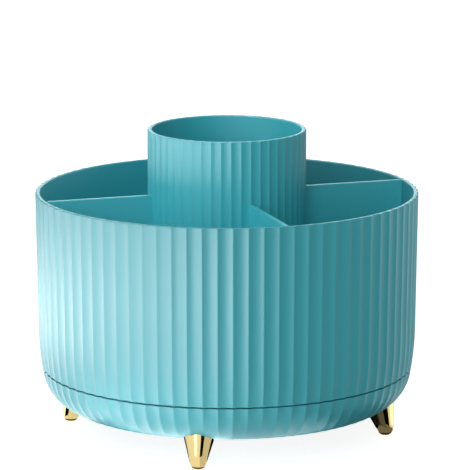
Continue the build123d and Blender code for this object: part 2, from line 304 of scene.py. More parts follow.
class CADDY_PG_finish(bpy.types.PropertyGroup):
    """Colours and gloss of the materials."""

    plastic: FloatVectorProperty(
        name="Turquoise", description="Colour of the moulded shells", subtype="COLOR",
        default=linear("#39B3C0"), min=0.0, max=1.0)
    plastic_roughness: FloatProperty(
        name="Plastic roughness", description="Roughness of the moulded shells", default=0.46)
    gold: FloatVectorProperty(
        name="Gold", description="Colour of the plated feet", subtype="COLOR",
        default=linear("#E0C98A"), min=0.0, max=1.0)
    gold_roughness: FloatProperty(
        name="Gold roughness", description="Roughness of the plated feet", default=0.08)


class CADDY_PG_stage(bpy.types.PropertyGroup):
    """Camera and light."""

    camera_place: FloatVectorProperty(
        name="Camera place", description="Where the camera stands", subtype="XYZ", unit="LENGTH",
        default=(0.0, -1.5572, 0.4067))
    camera_pitch: FloatProperty(
        name="Camera pitch", description="Angle by which the camera looks down",
        default=0.2045, subtype="ANGLE")
    camera_yaw: FloatProperty(
        name="Camera yaw", description="Angle by which the camera looks to the right",
        default=0.0022, subtype="ANGLE")
    lens: FloatProperty(name="Lens", description="Focal length in millimetres", default=288.99)
    sky: FloatProperty(name="Sky", description="Strength of the even light", default=0.17)
    key: FloatProperty(
        name="Key softbox", description="Radiance of the large softbox at the front left", default=0.76)
    front: FloatProperty(
        name="Front softbox", description="Radiance of the narrow softbox at the front", default=1.7)
    overhead: FloatProperty(
        name="Overhead softbox", description="Radiance of the softbox above", default=1.0)
    edge: FloatProperty(
        name="Edge softbox", description="Radiance of the narrow softbox at the back right", default=1.95)
    rim: FloatProperty(
        name="Rim softbox", description="Radiance of the softbox behind, which lights the rims", default=2.0)
    cards: FloatProperty(
        name="Reflector cards", description="Brightness of the reflector cards, which only the gloss sees",
        default=12.5)


# The outline of the tub and the base


def outline_arcs(form, inset=0.0):
    """Centre and radius of the belly arc and of the corner arc, moved inwards by an inset."""
    drop = form.belly_radius * (math.sin(form.belly_angle) - math.sin(form.draft))
    belly_height = form.underside + form.corner_radius * (1 - math.sin(form.belly_angle)) + drop
    belly_top = form.rim_radius - (form.rim_height - belly_height) * math.tan(form.draft)
    belly = Vector((
        belly_top - form.belly_radius * math.cos(form.draft),
        belly_height + form.belly_radius * math.sin(form.draft)))
    way = Vector((math.cos(form.belly_angle), -math.sin(form.belly_angle)))
    corner = belly + (form.belly_radius - form.corner_radius) * way
    return (belly, form.belly_radius - inset), (corner, form.corner_radius - inset)


def wall_radius(form, height, inset=0.0):
    """Radius of the outline at a height, moved inwards by an inset."""
    (belly, belly_radius), (corner, corner_radius) = outline_arcs(form, inset)
    if height >= belly.y - belly_radius * math.sin(form.draft):
        drop = (form.rim_height - height) * math.tan(form.draft)
        return form.rim_radius - inset / math.cos(form.draft) - drop
    if height >= belly.y - belly_radius * math.sin(form.belly_angle):
        return belly.x + math.sqrt(belly_radius**2 - (belly.y - height) ** 2)
    return corner.x + math.sqrt(max(corner_radius**2 - (corner.y - height) ** 2, 0.0))


def arc_heights(form, low, high, inset=0.0, belly_steps=8, corner_steps=12):
    """Heights between two heights at which the curved part of the outline is drawn."""
    (belly, belly_radius), (corner, corner_radius) = outline_arcs(form, inset)
    heights = []
    for step in range(corner_steps):
        angle = math.pi / 2 + (form.belly_angle - math.pi / 2) * step / corner_steps
        heights.append(corner.y - corner_radius * math.sin(angle))
    for step in range(belly_steps + 1):
        angle = form.belly_angle + (form.draft - form.belly_angle) * step / belly_steps
        heights.append(belly.y - belly_radius * math.sin(angle))
    # The two ends get points of their own, and no other point is set closer to them than this
    margin = 0.7 * MM
    return [height for height in heights if low + margin < height < high - margin]


def filleted(corners, steps=5):
    """Profile of (radius, height, fluting) points, each corner rounded by its own fourth value."""
    points = []
    for index, (radius, height, fluting, rounding) in enumerate(corners):
        here = Vector((radius, height))
        if not rounding:
            points.append((radius, height, fluting))
            continue
        back = Vector(corners[index - 1][:2]) - here
        ahead = Vector(corners[(index + 1) % len(corners)][:2]) - here
        half = back.angle(ahead) / 2
        # A rounding takes less than half of each side, so that it never meets the next one
        longest = 0.45 * min(back.length, ahead.length)
        reach = min(rounding / math.tan(half), longest)
        start = here + back.normalized() * reach
        end = here + ahead.normalized() * reach
        centre = here + (back.normalized() + ahead.normalized()).normalized() * reach / math.cos(half)
        turn = (start - centre).angle_signed(end - centre)
        for step in range(steps + 1):
            spoke = start - centre
            spoke.rotate(Matrix.Rotation(-turn * step / steps, 2))
            points.append((centre.x + spoke.x, centre.y + spoke.y, fluting))
    return points


# Geometry Nodes trees


def new_tree(name, output, inputs):
    """Geometry Nodes tree with its output and its named inputs, and the sockets of those inputs."""
    tree = bpy.data.node_groups.new(name, "GeometryNodeTree")
    for label, kind in inputs.items():
        tree.interface.new_socket(label, in_out="INPUT", socket_type="NodeSocket" + kind)
    tree.interface.new_socket(output, in_out="OUTPUT", socket_type="NodeSocketGeometry")
    return tree, add_node(tree, "NodeGroupInput").outputs


def end_tree(tree, output, geometry, material):
    """Ends a tree in Realize Instances and Set Material."""
    real = add_node(tree, "GeometryNodeRealizeInstances", {"Geometry": geometry})
    coated = add_node(tree, "GeometryNodeSetMaterial", {"Geometry": real, "Material": material})
    add_node(tree, "NodeGroupOutput", {output: coated})


def fluted_shell_tree():
    """Tree that turns a profile round the axis and hollows its outer wall into flutes."""
    tree, given = new_tree("Fluted shell", "Shell", {
        "Profile": "Geometry", "Flutes": "Int", "Flute depth": "Float", "Full radius": "Float",
        "Flute start": "Float", "Ridge softness": "Float", "Steps per flute": "Int",
        "Material": "Material"})

    # The shell starts as a flat grid, one metre square, with one row for each profile point and one
    # column for each step round the axis. Each row reads its profile point, and its number is linked
    # further down, where it is known
    rows = add_node(tree, "GeometryNodeAttributeDomainSize", {"Geometry": given["Profile"]})
    place = add_node(tree, "GeometryNodeInputPosition")
    on_grid = add_node(tree, "ShaderNodeSeparateXYZ", {0: place}).outputs
    point = add_node(tree, "GeometryNodeSampleIndex", {
        "Geometry": given["Profile"], "Value": place}, data_type="FLOAT_VECTOR")
    fluting = add_node(tree, "GeometryNodeInputNamedAttribute", {"Name": "fluting"}, data_type="FLOAT")
    weight = add_node(tree, "GeometryNodeSampleIndex", {
        "Geometry": given["Profile"], "Value": fluting}, data_type="FLOAT")
    profile = add_node(tree, "ShaderNodeSeparateXYZ", {0: point}).outputs

    # Each step: its name, the operation, and what goes in, which is a number or a name known so far
    known = dict(given.items())
    known.update({
        "grid x": on_grid["X"], "grid y": on_grid["Y"], "points": rows.outputs["Point Count"],
        "profile radius": profile["X"], "fluting": weight.outputs[0]})
    for name, operation, *inputs in (
            ("columns", "MULTIPLY_ADD", "Flutes", "Steps per flute", 1.0),
            ("last row", "SUBTRACT", "points", 1.0),
            ("row share", "ADD", "grid y", 0.5),
            ("row place", "MULTIPLY", "row share", "last row"),
            ("row", "ROUND", "row place"),
            # Steps crowd towards the ridges, where the surface turns fastest
            ("turn share", "ADD", "grid x", 0.5),
            ("turn", "MULTIPLY", "turn share", "Flutes"),
            ("step", "FRACT", "turn"),
            ("step angle", "MULTIPLY", "step", math.pi),
            ("step cosine", "COSINE", "step angle"),
            ("across", "MULTIPLY_ADD", "step cosine", -0.5, 0.5),
            ("flute angle", "DIVIDE", 2 * math.pi, "Flutes"),
            ("flute number", "FLOOR", "turn"),
            ("flutes passed", "ADD", "flute number", "across"),
            ("angle", "MULTIPLY_ADD", "flutes passed", "flute angle", "Flute start"),
            # The hollow is a parabola from ridge to ridge, and the ridges have rounded tips
            ("softness squared", "MULTIPLY", "Ridge softness", "Ridge softness"),
            ("other side", "SUBTRACT", 1.0, "across"),
            ("near side", "MINIMUM", "across", "other side"),
            ("from ridge", "MULTIPLY", "near side", 2.0),
            ("tip squared", "MULTIPLY_ADD", "from ridge", "from ridge", "softness squared"),
            ("tip", "SQRT", "tip squared"),
            ("rounded", "SUBTRACT", "tip", "Ridge softness"),
            ("middle squared", "ADD", "softness squared", 1.0),
            ("middle tip", "SQRT", "middle squared"),
            ("middle", "SUBTRACT", "middle tip", "Ridge softness"),
            ("share", "DIVIDE", "rounded", "middle"),
            ("rest", "SUBTRACT", 2.0, "share"),
            ("hollow", "MULTIPLY", "share", "rest"),
            # A flute gets shallower as the radius shrinks
            ("radius share", "DIVIDE", "profile radius", "Full radius"),
            ("full depth", "MULTIPLY", "Flute depth", "radius share"),
            ("wall depth", "MULTIPLY", "full depth", "fluting"),
            ("depth", "MULTIPLY", "wall depth", "hollow"),
            ("radius", "SUBTRACT", "profile radius", "depth"),
            ("cosine", "COSINE", "angle"),
            ("sine", "SINE", "angle"),
            ("x", "MULTIPLY", "radius", "cosine"),
            ("y", "MULTIPLY", "radius", "sine")):
        sources = {index: known.get(value, value) for index, value in enumerate(inputs)}
        known[name] = add_node(tree, "ShaderNodeMath", sources, operation=operation).outputs[0]

    for sample in (point, weight):
        tree.links.new(known["row"], sample.inputs["Index"])
    grid = add_node(tree, "GeometryNodeMeshGrid", {
        "Size X": 1.0, "Size Y": 1.0, "Vertices X": known["columns"], "Vertices Y": known["points"]})
    spot = add_node(tree, "ShaderNodeCombineXYZ", {"X": known["x"], "Y": known["y"], "Z": profile["Z"]})
    bent = add_node(tree, "GeometryNodeSetPosition", {"Geometry": grid, "Position": spot})
    merged = add_node(tree, "GeometryNodeMergeByDistance", {
        "Geometry": bent, "Distance": MERGE_DISTANCE})
    smooth = add_node(tree, "GeometryNodeSetShadeSmooth", {"Geometry": merged})
    end_tree(tree, "Shell", smooth, given["Material"])
    return tree


def turned_copies_tree():
    """Tree that sets copies of a piece evenly round the turning axis."""
    tree, given = new_tree("Turned copies", "Ring", {
        "Piece": "Geometry", "Copies": "Int", "First angle": "Float", "Material": "Material"})
    points = add_node(tree, "GeometryNodePoints", {"Count": given["Copies"]})
    index = add_node(tree, "GeometryNodeInputIndex")
    step = add_node(tree, "ShaderNodeMath", {0: 2 * math.pi, 1: given["Copies"]}, operation="DIVIDE")
    turn = add_node(tree, "ShaderNodeMath", {
        0: index, 1: step, 2: given["First angle"]}, operation="MULTIPLY_ADD")
    about_axis = add_node(tree, "ShaderNodeCombineXYZ", {"Z": turn})
    rotation = add_node(tree, "FunctionNodeEulerToRotation", {"Euler": about_axis})
    placed = add_node(tree, "GeometryNodeInstanceOnPoints", {
        "Points": points, "Instance": given["Piece"], "Rotation": rotation})
    end_tree(tree, "Ring", placed, given["Material"])
    return tree


def run_tree(mesh, tree_name, make_tree, values):
    """Plain mesh that a Geometry Nodes tree makes of a mesh, with its named inputs set."""
    holder = linked_object(mesh.name, mesh)
    tree = bpy.data.node_groups.get(tree_name) or make_tree()
    modifier = holder.modifiers.new(tree_name, "NODES")
    modifier.node_group = tree
    for socket in tree.interface.items_tree:
        if socket.in_out == "INPUT" and socket.name in values:
            modifier[socket.identifier] = values[socket.name]
    depsgraph = bpy.context.evaluated_depsgraph_get()
    result = bpy.data.meshes.new_from_object(holder.evaluated_get(depsgraph))
    bpy.data.objects.remove(holder)
    bpy.data.meshes.remove(mesh)
    return result


def fluted_shell(points, closed, sizes, material):
    """Mesh of a fluted shell, made by the tree from its profile points."""
    outline = list(points) + ([points[0]] if closed else [])
    profile = bpy.data.meshes.new("profile")
    edges = [(index, index + 1) for index in range(len(outline) - 1)]
    profile.from_pydata([(radius, 0.0, height) for radius, height, _ in outline], edges, [])
    fluting = profile.attributes.new("fluting", "FLOAT", "POINT")
    fluting.data.foreach_set("value", [point[2] for point in outline])
    return run_tree(profile, "Fluted shell", fluted_shell_tree, {**sizes, "Material": material})


def turned_copies(work, copies, first_angle, material):
    """Mesh of copies of a bmesh set evenly round the axis. The bmesh is used up."""
    mesh = bpy.data.meshes.new("copy")
    work.to_mesh(mesh)
    work.free()
    values = {"Copies": copies, "First angle": first_angle, "Material": material}
    return run_tree(mesh, "Turned copies", turned_copies_tree, values)


def tube(inner, outer, low, high, x, sides=40):
    """Upright tube with its axis at x, closed all round."""
    work = bmesh.new()
    angles = [2 * math.pi * side / sides for side in range(sides)]
    rings = []
    for radius, height in ((inner, low), (outer, low), (outer, high), (inner, high)):
        rings.append([
            work.verts.new((x + radius * math.cos(angle), radius * math.sin(angle), height))
            for angle in angles])
    for ring, above in zip(rings, rings[1:] + rings[:1]):
        for side in range(sides):
            after = (side + 1) % sides
            work.faces.new((ring[side], ring[after], above[after], above[side]))
    return work


def slab(inner, outer, wall, low, high, y=0.0, rounding=0.2 * MM):
    """Upright plate along +X between two radii, with soft edges."""
    work = bmesh.new()
    size = Vector((outer - inner, wall, high - low))
    centre = Vector(((inner + outer) / 2, y, (low + high) / 2))
    place = Matrix.Translation(centre) @ Matrix.Diagonal((*size, 1.0))
    bmesh.ops.create_cube(work, size=1.0, matrix=place)
    bmesh.ops.bevel(work, geom=work.edges[:], offset=rounding, segments=2, profile=0.5, affect="EDGES")
    return work


def plain_piece(name, meshes, material):
    """One object at the origin made of meshes, closed, smooth, with its faces pointing outwards."""
    work = bmesh.new()
    for mesh in meshes:
        own = bmesh.new()
        own.from_mesh(mesh)
        bmesh.ops.remove_doubles(own, verts=own.verts, dist=MERGE_DISTANCE)
        bmesh.ops.recalc_face_normals(own, faces=own.faces)
        own.to_mesh(mesh)
        own.free()
        work.from_mesh(mesh)
        bpy.data.meshes.remove(mesh)
    joined = bpy.data.meshes.new(name)
    work.to_mesh(joined)
    work.free()
    joined.materials.append(material)
    joined.polygons.foreach_set("material_index", [0] * len(joined.polygons))
    joined.polygons.foreach_set("use_smooth", [True] * len(joined.polygons))
    joined.set_sharp_from_angle(angle=SHARP_ANGLE)
    return linked_object(name, joined)


def dress(piece, body, slot, *nodes):
    """Makes a piece ride on its body and stand for its nodes, which it hides.

    It also puts the piece into the groups that the linked lights of the stage reach.
    """
    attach(piece, body)
    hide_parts(*nodes)
    if slot == "turquoise_plastic":
        group("moulded_pieces").objects.link(piece)
    group("centre_cup" if "divider_insert" in nodes else "outer_pieces").objects.link(piece)


# Materials


def new_material(name):
    """Node material with its tree, its principled shader and the piece's own coordinates."""
    material = bpy.data.materials.new(name)
    material.use_nodes = True
    tree = material.node_tree
    place = add_node(tree, "ShaderNodeTexCoord").outputs["Object"]
    return material, tree, tree.nodes["Principled BSDF"], place


def gloss_and_relief(tree, shader, gloss_pattern, roughness, relief_pattern, strength, depth):
    """Lets one pattern vary the roughness between two values, and raises the surface by another."""
    gloss = add_node(tree, "ShaderNodeMapRange", {
        "Value": gloss_pattern, "To Min": roughness[0], "To Max": roughness[1]})
    relief = add_node(tree, "ShaderNodeBump", {
        "Strength": strength, "Distance": depth, "Height": relief_pattern})
    tree.links.new(gloss.outputs[0], shader.inputs["Roughness"])
    tree.links.new(relief.outputs[0], shader.inputs["Normal"])


def moulded_abs(finish):
    """ABS, injection moulded in a spark-eroded tool.

    The eroded skin gives the eye an even satin with a wide, soft gloss, and the flow of the melt
    leaves long patches that are a shade darker.
    """
    material = bpy.data.materials.get("turquoise_moulded_abs")
    if material:
        return material
    material, tree, shader, place = new_material("turquoise_moulded_abs")
    # Flow patches in a wall of 2 mm are about 60 mm long
    flow_length = 60.0 * MM
    # The eroded grain is about 0.05 mm, too fine to show, and is drawn at 0.35 mm
    grain_size = 0.35 * MM
    flow_shade = 0.965
    gloss_spread = 0.04
    flow = add_node(tree, "ShaderNodeTexNoise", {
        "Vector": place, "Scale": 1 / flow_length, "Detail": 2.0})
    grain = add_node(tree, "ShaderNodeTexNoise", {
        "Vector": place, "Scale": 1 / grain_size, "Detail": 3.0}).outputs["Fac"]
    darker = [channel * flow_shade for channel in finish.plastic]
    colour = add_node(tree, "ShaderNodeMix", {
        "Factor": flow.outputs["Fac"], "A": rgba(darker), "B": rgba(finish.plastic)}, data_type="RGBA")
    tree.links.new(colour.outputs["Result"], shader.inputs["Base Color"])
    roughness = (finish.plastic_roughness - gloss_spread, finish.plastic_roughness + gloss_spread)
    gloss_and_relief(tree, shader, grain, roughness, grain, strength=0.12, depth=0.02 * MM)
    shader.inputs["IOR"].default_value = 1.53
    # The eroded skin scatters part of the reflection, so it is a little weaker than a smooth skin's
    shader.inputs["Specular IOR Level"].default_value = 0.4
    return material


def gold_plating(finish):
    """Gold, electroplated in a thin coat over bright nickel on moulded ABS.

    That gives the eye a warm mirror under a faint haze, and its reflections waver a little, because
    the plastic underneath sinks slightly as it cools.
    """
    material, tree, shader, place = new_material("gold_electroplated_abs")
    # Sink waves of a part this small are about 8 mm long
    wave_length = 8.0 * MM
    # The haze of a plated skin is about 0.05 mm fine, too fine to show, and is drawn at 1.5 mm
    haze_size = 1.5 * MM
    wave = add_node(tree, "ShaderNodeTexNoise", {
        "Vector": place, "Scale": 1 / wave_length, "Detail": 1.0}).outputs["Fac"]
    haze = add_node(tree, "ShaderNodeTexNoise", {
        "Vector": place, "Scale": 1 / haze_size, "Detail": 3.0}).outputs["Fac"]
    clearest, haziest = finish.gold_roughness - 0.02, finish.gold_roughness + 0.03
    gloss_and_relief(
        tree, shader, haze, (clearest, haziest), wave, strength=0.1, depth=0.05 * MM)
    shader.inputs["Base Color"].default_value = rgba(finish.gold)
    shader.inputs["Metallic"].default_value = 1.0
    return material


# Finishes of the inner parts, for each material slot of the record: the material's name, its colour,
# how metallic it is, its roughness and the size of its grain. The real grains are 0.01 to 0.1 mm, too
# fine to show, and are drawn at 0.4 to 0.8 mm
INNER_FINISHES = {
    # Acetal in its natural milky white, moulded in a smooth tool, gives a waxy half gloss
    "natural_acetal": ("natural_moulded_acetal", "#E4E2D8", 0.0, 0.35, 0.6 * MM),
    # Nylon dyed black, moulded in a plain milled tool, gives a dull, broad sheen
    "cage_nylon": ("black_moulded_nylon", "#26262A", 0.0, 0.5, 0.5 * MM),
    # Bearing steel, hardened and ground, gives a near mirror with a fine haze
    "bearing_steel": ("ground_bearing_steel", "#C6C8CB", 1.0, 0.12, 0.4 * MM),
    # Steel with a thin bright zinc coat gives a pale grey metal, clouded by the bath
    "zinc_steel": ("zinc_plated_steel", "#BFC1C2", 1.0, 0.32, 0.8 * MM)}


def inner_material(name, hex_colour, metallic, roughness, grain_size):
    """Material of an inner part: an even colour with a fine grain in its gloss and relief."""
    material, tree, shader, place = new_material(name)
    gloss_spread = 0.2
    grain = add_node(tree, "ShaderNodeTexNoise", {
        "Vector": place, "Scale": 1 / grain_size, "Detail": 3.0}).outputs["Fac"]
    spread = (roughness * (1 - gloss_spread), roughness * (1 + gloss_spread))
    gloss_and_relief(tree, shader, grain, spread, grain, strength=0.1, depth=0.02 * MM)
    shader.inputs["Base Color"].default_value = rgba(linear(hex_colour))
    shader.inputs["Metallic"].default_value = metallic
    return material


# Pieces

# Running play between the hub of the tub and the bush
HUB_PLAY = 0.06 * MM
# Fillet between floor and wall in the tub, and the one in the cup
TUB_FILLET = 6.0 * MM
CUP_FILLET = 4.5 * MM
# Rounding of the dividers' tops, and of the short ribs that hold the dividers
DIVIDER_ROUNDING = 0.45 * MM
KEY_ROUNDING = 0.3 * MM
# The spigot ends this far below the top of the bush
SPIGOT_DROP = 0.2 * MM
# Height of the pivot screw's head, depth of its hole under the head, and the hole's radius
SCREW_HEAD = 2.6 * MM
SCREW_HOLE_DEPTH = 12.55 * MM
SCREW_HOLE_RADIUS = 2.05 * MM
# Height above the underside over which the flutes of the base come to their full depth
FLUTE_RISE = 5.0 * MM


def flute_sizes(form):
    """Inputs of the fluted shell's tree for the tub and the base."""
    return {
        "Flutes": form.flutes, "Flute depth": form.flute_depth, "Full radius": form.rim_radius,
        "Flute start": form.flute_start, "Ridge softness": form.ridge_softness,
        "Steps per flute": form.flute_steps}


def tub_floor(form):
    """Heights of the underside and of the top of the tub's floor."""
    under = form.seam + form.seam_gap
    return under, under + form.floor_wall


def seat_radii(table):
    """Inner and outer radius of the seat ring of a race."""
    return table.race_radius - table.seat_wall / 2, table.race_radius + table.seat_wall / 2


def foot_angles(foot):
    """Angles at which the feet stand, from the front foot on."""
    return [foot.start + number * 2 * math.pi / foot.feet for number in range(foot.feet)]


def tub_profile(form, table):
    """Closed section of the tub: hub, seat ring, lip, fluted wall, rim, inner wall and floor."""
    rim = form.rim_height
    under, floor = tub_floor(form)
    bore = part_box("pivot_bush")[1].x + HUB_PLAY
    hub = bore + table.hub_wall
    hub_low = under - table.hub_depth
    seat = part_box("upper_race")[1].z
    seat_in, seat_out = seat_radii(table)
    lip_low = under - table.lip_depth
    lip_out = wall_radius(form, lip_low, form.base_wall) - table.lip_gap
    lip_in = lip_out - table.lip_wall
    edge = form.edge_radius
    small = 0.5 * edge
    section = [
        (bore, hub_low, 0, small), (hub, hub_low, 0, small), (hub, under, 0, edge),
        (seat_in, under, 0, edge), (seat_in, seat, 0, 0), (seat_out, seat, 0, 0),
        (seat_out, under, 0, edge), (lip_in, under, 0, edge), (lip_in, lip_low, 0, small),
        (lip_out, lip_low, 0, small), (lip_out, under, 0, small),
        (wall_radius(form, under), under, 1, 1.2 * edge)]
    section += [(wall_radius(form, height), height, 1, 0) for height in arc_heights(form, under, rim)]
    section += [(form.rim_radius, rim, 1, edge), (wall_radius(form, rim, form.wall), rim, 0, 1.5 * edge)]
    # Points of the inner wall stay clear of its fillet
    fillet_end = floor + TUB_FILLET + 1 * MM
    inner = arc_heights(form, fillet_end, rim, form.wall)
    section += [(wall_radius(form, height, form.wall), height, 0, 0) for height in reversed(inner)]
    section += [(wall_radius(form, floor, form.wall), floor, 0, TUB_FILLET), (bore, floor, 0, small)]
    return filleted(section)


class CADDY_OT_tub(bpy.types.Operator):
    """Builds the fluted tub that turns on the base, with the seats underneath its floor"""

    bl_idname = "caddy.tub"
    bl_label = "Build tub"

    def execute(self, context):
        form = context.scene.caddy_form
        cup = context.scene.caddy_cup
        table = context.scene.caddy_turntable
        abs_skin = moulded_abs(context.scene.caddy_finish)
        under, floor = tub_floor(form)
        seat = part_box("upper_race")[1].z
        inside = 0.5 * form.floor_wall
        rib = slab(table.collar_radius, table.race_radius, table.rib_wall, seat, under + inside)
        boss = tube(table.pilot_radius, table.boss_radius, seat, under + inside,
                    table.race_radius - table.screw_offset)
        meshes = [
            fluted_shell(tub_profile(form, table), True, flute_sizes(form), abs_skin),
            turned_copies(rib, table.ribs, table.tub_start + math.pi / table.ribs, abs_skin),
            turned_copies(boss, table.screws, table.tub_start, abs_skin)]
        # A pair of short ribs on the floor holds each divider between them
        key_start = cup.key_centre - cup.key_length / 2
        beside = cup.divider_wall / 2 + cup.divider_gap + cup.key_wall / 2
        for side in (-beside, beside):
            key = slab(key_start, key_start + cup.key_length, cup.key_wall,
                       floor - inside, floor + cup.key_height, side, KEY_ROUNDING)
            meshes.append(turned_copies(key, cup.dividers, cup.divider_start, abs_skin))
        tub = plain_piece("tub_shell", meshes, abs_skin)
        dress(tub, "carousel", "turquoise_plastic", "outer_tub")
        return {"FINISHED"}


def base_profile(form, table):
    """Open section of the base, from the axis below to the axis above."""
    floor = form.underside + form.base_wall
    edge = form.edge_radius
    corner = outline_arcs(form)[1][0]
    # The flat underside has its last ring a little inside the place where the corner starts
    flat_end = corner.x - 3 * MM
    section = [(0.0, form.underside, 0, 0), (flat_end, form.underside, 0, 0)]
    # The flutes rise from half their depth to all of it, with a soft start and end
    for height in [form.underside, *arc_heights(form, form.underside, form.seam)]:
        share = min((height - form.underside) / FLUTE_RISE, 1.0)
        weight = 0.5 + 0.5 * share * share * (3 - 2 * share)
        section.append((wall_radius(form, height), height, weight, 0))
    section.append((wall_radius(form, form.seam), form.seam, 1, 0.5 * edge))
    section.append((wall_radius(form, form.seam, form.base_wall), form.seam, 0, edge))
    inner = arc_heights(form, floor, form.seam, form.base_wall, belly_steps=4, corner_steps=6)
    section += [(wall_radius(form, height, form.base_wall), height, 0, 0) for height in reversed(inner)]
    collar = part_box("pivot_bush")[0].z
    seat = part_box("lower_race")[0].z
    seat_in, seat_out = seat_radii(table)
    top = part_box("pivot_bush")[1].z - SPIGOT_DROP
    hole_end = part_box("pivot_screw")[1].z - SCREW_HEAD - SCREW_HOLE_DEPTH
    section += [
        (wall_radius(form, floor, form.base_wall), floor, 0, 0),
        (seat_out, floor, 0, edge), (seat_out, seat, 0, 0), (seat_in, seat, 0, 0),
        (seat_in, floor, 0, edge), (table.collar_radius, floor, 0, edge),
        (table.collar_radius, collar, 0, 0), (table.spigot_radius, collar, 0, 0),
        (table.spigot_radius, top, 0, 0.5 * edge), (SCREW_HOLE_RADIUS, top, 0, 0),
        (SCREW_HOLE_RADIUS, hole_end, 0, 0), (0.0, hole_end, 0, 0)]
    return filleted(section)


def foot_pad(form, foot, sides=64, halvings=24):
    """Round pad over a foot along its leaning axis, its lower end sunk into the wall of the base."""
    place = foot_place(foot, 0.0)
    seat_radius = (foot.tip_radius + foot.length * math.sin(foot.taper)) / math.cos(foot.taper)
    radius = seat_radius + foot.pad_wall
    top = foot.length + foot.pad_height
    inset = form.base_wall / 2
    work = bmesh.new()
    upper, lower = [], []
    for side in range(sides):
        angle = 2 * math.pi * side / sides
        x, y = radius * math.cos(angle), radius * math.sin(angle)
        # The pad's side ends where it meets the middle of the wall, found by halving
        low, high = top - 2 * radius, top
        for _ in range(halvings):
            middle = (low + high) / 2
            point = place @ Vector((x, y, middle))
            reach = wall_radius(form, max(point.z, form.underside + inset), inset)
            outside = point.z < form.underside + inset or math.hypot(point.x, point.y) > reach
            low, high = (middle, high) if outside else (low, middle)
        upper.append(work.verts.new(place @ Vector((x, y, top))))
        lower.append(work.verts.new(place @ Vector((x, y, high))))
    for side in range(sides):
        after = (side + 1) % sides
        work.faces.new((lower[side], lower[after], upper[after], upper[side]))
    work.faces.new(upper)
    heart = work.verts.new(sum((vertex.co for vertex in lower), Vector()) / sides)
    for side in range(sides):
        work.faces.new((heart, lower[(side + 1) % sides], lower[side]))
    return work


class CADDY_OT_base(bpy.types.Operator):
    """Builds the fluted base dish that stands on the feet, with the pivot and seats inside it"""

    bl_idname = "caddy.base"
    bl_label = "Build base"

    def execute(self, context):
        form = context.scene.caddy_form
        table = context.scene.caddy_turntable
        foot = context.scene.caddy_foot
        abs_skin = moulded_abs(context.scene.caddy_finish)
        root = form.underside + 0.5 * form.base_wall
        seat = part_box("lower_race")[0].z
        # The ribs start inside the collar, so that they join it
        overlap = 1 * MM
        rib = slab(table.collar_radius - overlap, table.race_radius, table.rib_wall, root, seat)
        boss = tube(table.pilot_radius, table.boss_radius, root, seat, table.race_radius + table.screw_offset)
        meshes = [
            fluted_shell(base_profile(form, table), False, flute_sizes(form), abs_skin),
            turned_copies(rib, table.ribs, 0.0, abs_skin),
            turned_copies(boss, table.screws, 0.0, abs_skin),
            turned_copies(foot_pad(form, foot), foot.feet, foot.start, abs_skin)]
        base = plain_piece("base_shell", meshes, abs_skin)
        dress(base, "base", "turquoise_plastic", "base_dish")
        return {"FINISHED"}


def cup_profile(form, cup):
    """Open section of the cup, from the axis under its floor to the axis on its floor."""
    low = tub_floor(form)[1]
    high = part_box("divider_insert")[1].z
    bore = cup.radius - cup.wall
    edge = form.edge_radius
    section = [
        (0.0, cup.floor_height - cup.floor_wall, 0, 0), (bore, cup.floor_height - cup.floor_wall, 0, 0),
        (bore, low, 0, 0), (cup.radius, low, 1, 0), (cup.radius, high, 1, edge),
        (bore, high, 0, 1.5 * edge), (bore, cup.floor_height, 0, CUP_FILLET),
        (0.0, cup.floor_height, 0, 0)]
    return filleted(section)


def divider(form, cup):
    """Upright plate along +X from inside the cup wall to the wall of the tub."""
    low = tub_floor(form)[1] + cup.divider_gap
    high = form.rim_height
    inset = form.wall + cup.divider_gap
    start = cup.radius - 0.5 * cup.wall
    corner = low + cup.floor_corner
    outline = [(start, low), (wall_radius(form, low, inset) - cup.floor_corner, low)]
    outline += [(wall_radius(form, height, inset), height)
                for height in [corner, *arc_heights(form, corner, high, inset), high]]
    outline.append((start, high))
    work = bmesh.new()
    half = cup.divider_wall / 2
    sides = [[work.verts.new((x, side, z)) for x, z in outline] for side in (-half, half)]
    work.faces.new(sides[0])
    work.faces.new(reversed(sides[1]))
    for index in range(len(outline)):
        after = (index + 1) % len(outline)
        work.faces.new((sides[0][index], sides[1][index], sides[1][after], sides[0][after]))
    near = MM / 100
    top = [edge for edge in work.edges if all(abs(vertex.co.z - high) < near for vertex in edge.verts)]
    bmesh.ops.bevel(
        work, geom=top, offset=DIVIDER_ROUNDING, segments=4, profile=0.5, affect="EDGES")
    return work


class CADDY_OT_insert(bpy.types.Operator):
    """Builds the centre cup with its dividers, one moulding"""

    bl_idname = "caddy.insert"
    bl_label = "Build cup and dividers"

    def execute(self, context):
        form = context.scene.caddy_form
        cup = context.scene.caddy_cup
        table = context.scene.caddy_turntable
        abs_skin = moulded_abs(context.scene.caddy_finish)
        sizes = {
            **flute_sizes(form), "Flutes": cup.flutes, "Flute depth": cup.flute_depth,
            "Full radius": cup.radius, "Flute start": cup.flute_start}
        boss_top = cup.floor_height - 0.5 * cup.floor_wall
        boss = tube(
            table.pilot_radius, table.boss_radius, tub_floor(form)[1], boss_top, table.insert_circle)
        meshes = [
            fluted_shell(cup_profile(form, cup), False, sizes, abs_skin),
            turned_copies(divider(form, cup), cup.dividers, cup.divider_start, abs_skin),
            turned_copies(boss, table.insert_screws, table.tub_start, abs_skin)]
        insert = plain_piece("cup_and_dividers", meshes, abs_skin)
        dress(insert, "carousel", "turquoise_plastic", "divider_insert")
        return {"FINISHED"}


def foot_place(foot, angle):
    """Where a foot's ball stands, with the foot's axis leaning."""
    lift = Matrix.Translation((foot.circle, 0.0, foot.tip_radius - foot.sole_depth))
    return Matrix.Rotation(angle, 4, "Z") @ lift @ Matrix.Rotation(-foot.lean, 4, "Y")


